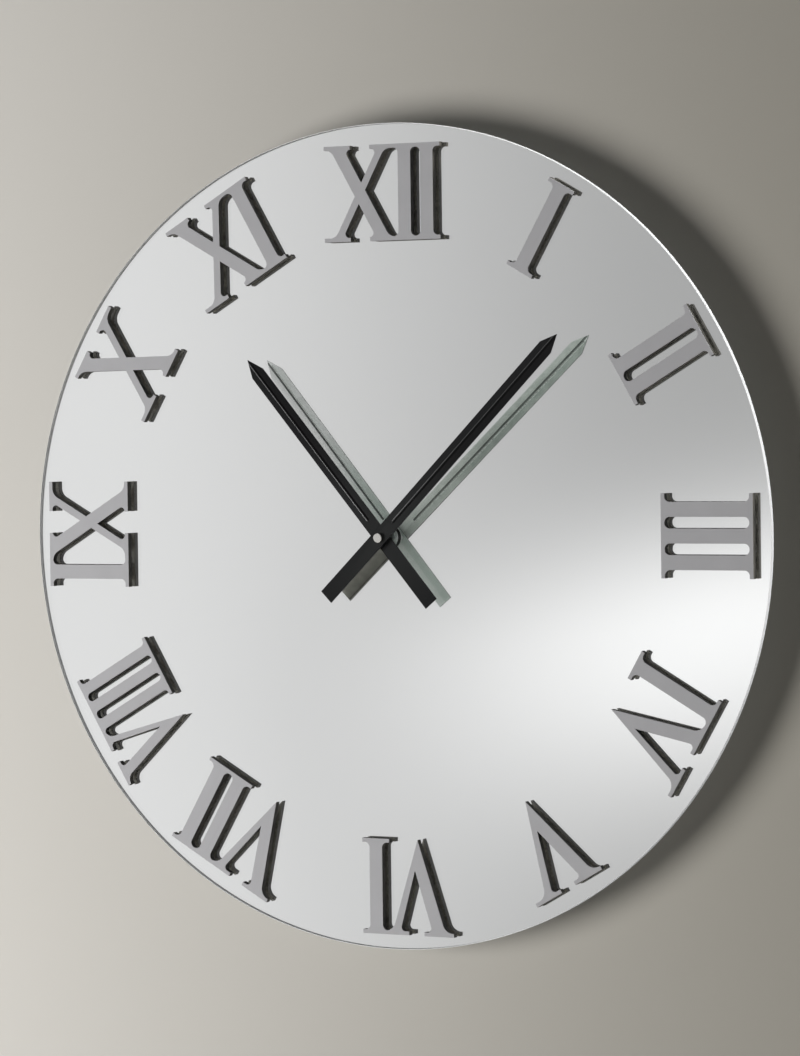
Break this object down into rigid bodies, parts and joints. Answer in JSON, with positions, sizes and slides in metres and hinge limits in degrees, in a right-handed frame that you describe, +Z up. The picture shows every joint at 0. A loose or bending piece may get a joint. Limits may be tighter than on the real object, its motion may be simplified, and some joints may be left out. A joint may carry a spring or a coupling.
{
  "type": "mirror wall clock",
  "caption": "Round frameless mirror wall clock with raised Roman numerals, ribbed baton hands, a quartz movement behind the glass and a keyhole hanger.",
  "frame": {"origin": "centre of the hanger keyhole's entry on the wall plane", "axes": "+Z up the wall, -Y out of the wall towards the viewer, +X to the viewer's right facing the dial"},
  "size_m": [0.4999, 0.0467, 0.5],
  "materials": {
    "glass": "clear float glass with a polished edge",
    "silver": "silvered, with grey paint behind",
    "numeral_board": "thin board with a satin grey face and dark laser-cut edges",
    "hand_black": "satin black lacquer in front, bare aluminium behind",
    "nickel": "nickel plated",
    "black_nut": "blackened brass",
    "rubber": "matt black",
    "zinc_steel": "zinc plated",
    "case_plastic": "fine grained black",
    "cell_wrap": "plain printed sleeve, no marks",
    "board": "green solder mask",
    "copper": "enamelled copper wire",
    "iron": "soft iron laminations",
    "magnet": "moulded magnet with a plastic pinion",
    "wheel_plastic": "natural acetal"
  },
  "bodies": {
    "dial": {"mirror_glass": "glass", "mirror_silvering": "silver", "numeral_1": "numeral_board", "numeral_2": "numeral_board", "numeral_3": "numeral_board", "numeral_4": "numeral_board", "numeral_5": "numeral_board", "numeral_6": "numeral_board", "numeral_7": "numeral_board", "numeral_8": "numeral_board", "numeral_9": "numeral_board", "numeral_10": "numeral_board", "numeral_11": "numeral_board", "numeral_12": "numeral_board", "battery_contact_plus": "nickel", "battery_contact_minus": "nickel", "quartz_crystal": "nickel", "threaded_bush": "black_nut", "rubber_washer": "rubber", "wall_spacers": "rubber", "hanger_bracket": "zinc_steel", "dial_washer": "zinc_steel", "fixing_nut": "zinc_steel", "movement_case": "case_plastic", "rear_cover": "case_plastic", "battery": "cell_wrap", "circuit_board": "board", "coil": "copper", "coil_core": "iron", "stator": "iron"},
    "minute_arm": {"minute_hand": "hand_black", "cap_nut": "nickel", "minute_shaft": "nickel"},
    "hour_arm": {"hour_hand": "hand_black", "hour_hand_collet": "black_nut", "hour_wheel": "wheel_plastic"},
    "minute_wheel": {"minute_wheel": "wheel_plastic"},
    "setting_knob": {"setting_knob": "wheel_plastic"},
    "seconds_wheel": {"seconds_wheel": "wheel_plastic"},
    "third_wheel": {"third_wheel": "wheel_plastic"},
    "centre_wheel": {"centre_wheel": "wheel_plastic"},
    "intermediate_wheel": {"intermediate_wheel": "wheel_plastic"},
    "rotor": {"rotor": "magnet"}
  },
  "joints": [
    {"name": "minute_turn", "type": "hinge", "parent": "dial", "child": "minute_arm", "pos_m": [0, -0.026, -0.054], "axis": [0, 1, 0], "continuous": true},
    {"name": "hour_turn", "type": "hinge", "parent": "dial", "child": "hour_arm", "pos_m": [0, -0.026, -0.054], "axis": [0, 1, 0], "continuous": true},
    {"name": "minute_wheel_turn", "type": "hinge", "parent": "dial", "child": "minute_wheel", "pos_m": [0.0036, -0.026, -0.04777], "axis": [0, 1, 0], "continuous": true},
    {"name": "knob_turn", "type": "hinge", "parent": "dial", "child": "setting_knob", "pos_m": [0.0072, -0.026, -0.04153], "axis": [0, 1, 0], "continuous": true},
    {"name": "seconds_turn", "type": "hinge", "parent": "dial", "child": "seconds_wheel", "pos_m": [0, -0.026, -0.054], "axis": [0, 1, 0], "continuous": true},
    {"name": "third_turn", "type": "hinge", "parent": "dial", "child": "third_wheel", "pos_m": [0.0102, -0.026, -0.054], "axis": [0, 1, 0], "continuous": true},
    {"name": "centre_turn", "type": "hinge", "parent": "dial", "child": "centre_wheel", "pos_m": [0, -0.026, -0.054], "axis": [0, 1, 0], "continuous": true},
    {"name": "intermediate_turn", "type": "hinge", "parent": "dial", "child": "intermediate_wheel", "pos_m": [-0.00804, -0.026, -0.04725], "axis": [0, 1, 0], "continuous": true},
    {"name": "rotor_turn", "type": "hinge", "parent": "dial", "child": "rotor", "pos_m": [-0.01454, -0.026, -0.0435], "axis": [0, 1, 0], "continuous": true}
  ],
  "couplings": [
    {"joint": "hour_turn", "follows": "minute_turn", "ratio": 0.083333},
    {"joint": "minute_wheel_turn", "follows": "minute_turn", "ratio": -0.33333},
    {"joint": "knob_turn", "follows": "minute_turn", "ratio": 1},
    {"joint": "third_turn", "follows": "seconds_turn", "ratio": -0.13333},
    {"joint": "centre_turn", "follows": "seconds_turn", "ratio": 0.016667},
    {"joint": "intermediate_turn", "follows": "seconds_turn", "ratio": -6},
    {"joint": "rotor_turn", "follows": "seconds_turn", "ratio": 30}
  ]
}
